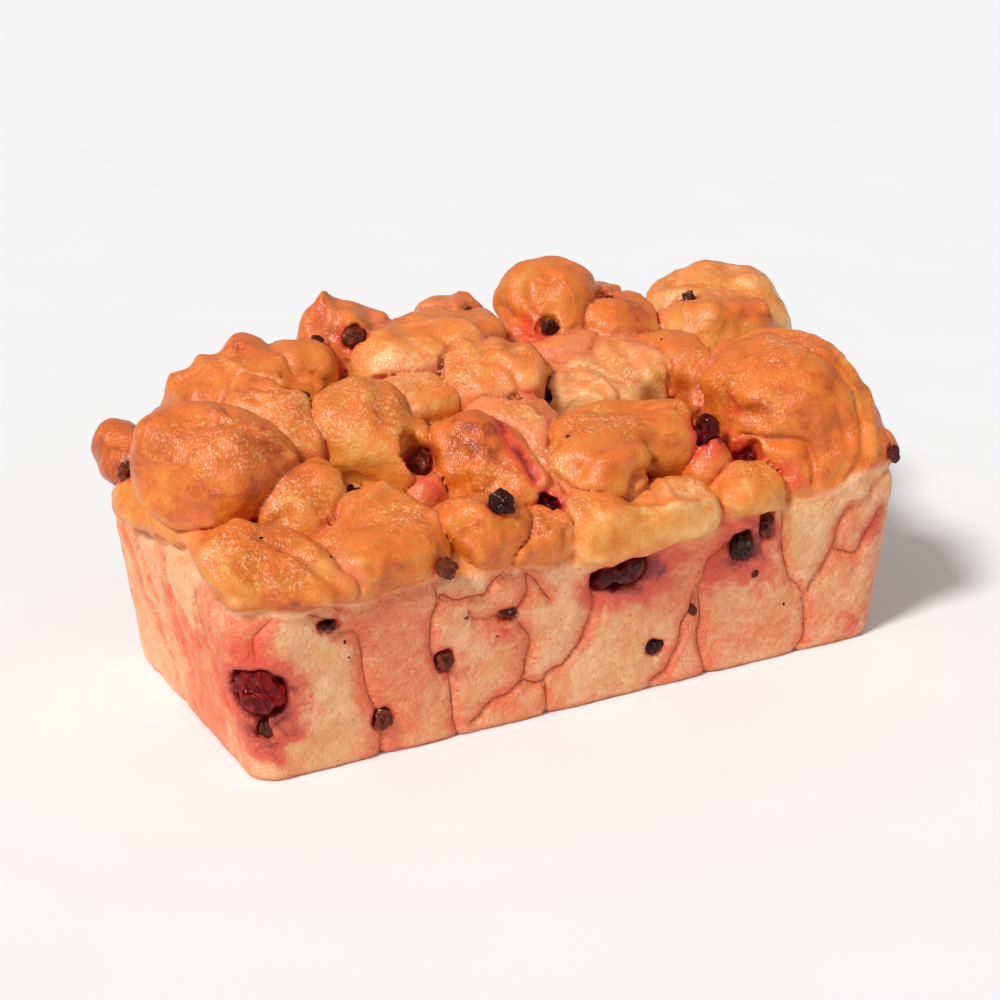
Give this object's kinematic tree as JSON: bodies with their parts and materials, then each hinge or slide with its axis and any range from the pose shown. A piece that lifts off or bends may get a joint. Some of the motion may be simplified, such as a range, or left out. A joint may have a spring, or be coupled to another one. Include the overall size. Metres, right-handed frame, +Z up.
{
  "type": "cherry nut bread",
  "caption": "Whole pull-apart fruit loaf: tin-shaped pale sides, a browned crust of fused dough lumps, raisins and glossy cherries set in its surface.",
  "frame": {"origin": "middle of the tin-shaped base, on the surface the loaf rests on", "axes": "+X along the loaf's length, -Y its long front side as pictured, +Z up"},
  "size_m": [0.2367, 0.1197, 0.1085],
  "materials": {
    "crust": "egg-glazed golden crust on top, matte cream and salmon crumb on the sides",
    "cherry": "wet, glossy dark red",
    "raisin": "wrinkled, half-gloss dark brown"
  },
  "bodies": {
    "root": {"loaf": "crust", "cherry_1": "cherry", "cherry_2": "cherry", "cherry_3": "cherry", "cherry_4": "cherry", "cherry_5": "cherry", "cherry_6": "cherry", "raisin_01": "raisin", "raisin_02": "raisin", "raisin_03": "raisin", "raisin_04": "raisin", "raisin_05": "raisin", "raisin_06": "raisin", "raisin_07": "raisin", "raisin_08": "raisin", "raisin_09": "raisin", "raisin_10": "raisin", "raisin_11": "raisin", "raisin_12": "raisin", "raisin_13": "raisin", "raisin_14": "raisin", "raisin_15": "raisin", "raisin_16": "raisin", "raisin_17": "raisin", "raisin_18": "raisin", "raisin_19": "raisin", "raisin_20": "raisin", "raisin_21": "raisin", "raisin_22": "raisin", "raisin_23": "raisin"}
  },
  "joints": []
}
